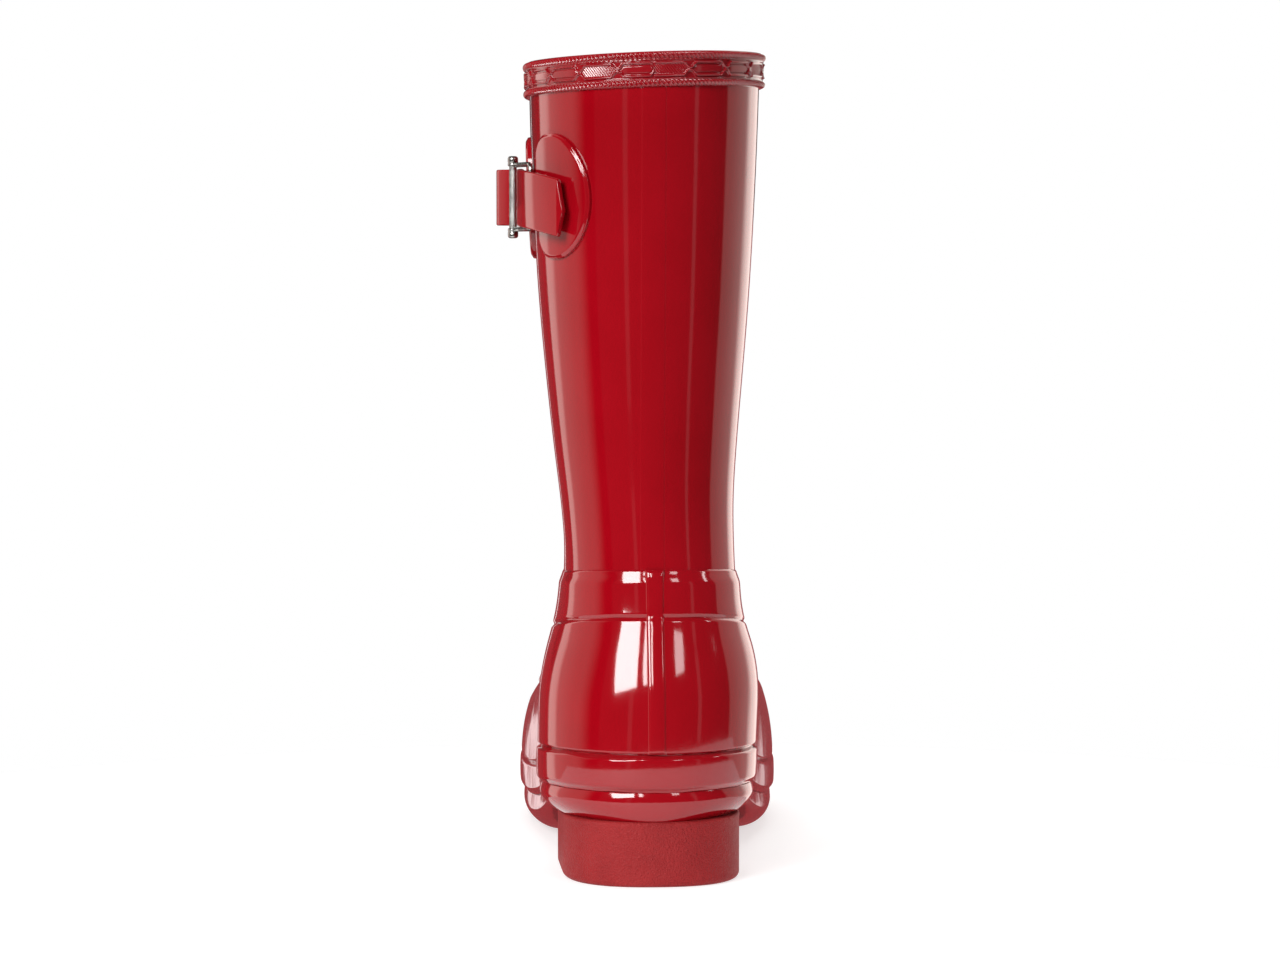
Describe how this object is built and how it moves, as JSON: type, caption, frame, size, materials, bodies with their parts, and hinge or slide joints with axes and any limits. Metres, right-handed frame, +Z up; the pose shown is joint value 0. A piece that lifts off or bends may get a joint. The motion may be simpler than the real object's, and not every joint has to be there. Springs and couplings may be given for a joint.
{
  "type": "rubber rain boot",
  "caption": "Short glossy red rubber rain boot for the left foot, with an embossed top band, an outer side strap and buckle, raised heel and toe overlays and a matte heel block.",
  "frame": {"origin": "middle of the boot's box, on the ground", "axes": "+Z up, +Y from heel to toe, +X toward the inner side of the left foot; the buckle is on the -X side"},
  "size_m": [0.1158, 0.2822, 0.2968],
  "materials": {
    "gloss_rubber": "high gloss red lacquered rubber",
    "matte_rubber": "matte fine grained red rubber",
    "knit_lining": "fine pale knit",
    "footbed_fabric": "brushed cloth over foam",
    "stiffener_board": "plain fibre board",
    "cork_filler": "pressed cork",
    "metal": "nickel plated, fine knurl on the front bar"
  },
  "bodies": {
    "boot": {"leg_upper": "gloss_rubber", "top_band": "gloss_rubber", "leg_stay": "gloss_rubber", "quarter": "gloss_rubber", "vamp": "gloss_rubber", "ankle_collar": "gloss_rubber", "heel_counter": "gloss_rubber", "back_stay": "gloss_rubber", "toe_cap": "gloss_rubber", "instep_saddle": "gloss_rubber", "outer_side_panel": "gloss_rubber", "inner_side_panel": "gloss_rubber", "foxing_strip": "gloss_rubber", "outsole": "gloss_rubber", "heel_block": "matte_rubber", "front_patch": "gloss_rubber", "rear_patch": "gloss_rubber", "strap": "gloss_rubber", "leg_lining": "knit_lining", "foot_lining": "knit_lining", "footbed": "footbed_fabric", "insole_board": "stiffener_board", "bottom_filler": "cork_filler", "heel_stiffener": "stiffener_board", "toe_puff": "stiffener_board"},
    "buckle": {"buckle_frame": "metal"},
    "strap_tongue": {"strap_end": "gloss_rubber"}
  },
  "joints": [
    {"name": "buckle_tilt", "type": "hinge", "parent": "boot", "child": "buckle", "pos_m": [-0.0467, -0.1004, 0.2449], "axis": [0, 0, 1], "range_deg": [0, 30]},
    {"name": "strap_end_lift", "type": "hinge", "parent": "boot", "child": "strap_tongue", "pos_m": [-0.04957, -0.08629, 0.2449], "axis": [0, 0, -1], "range_deg": [0, 45], "stiffness_Nm_per_rad": 0.02}
  ]
}
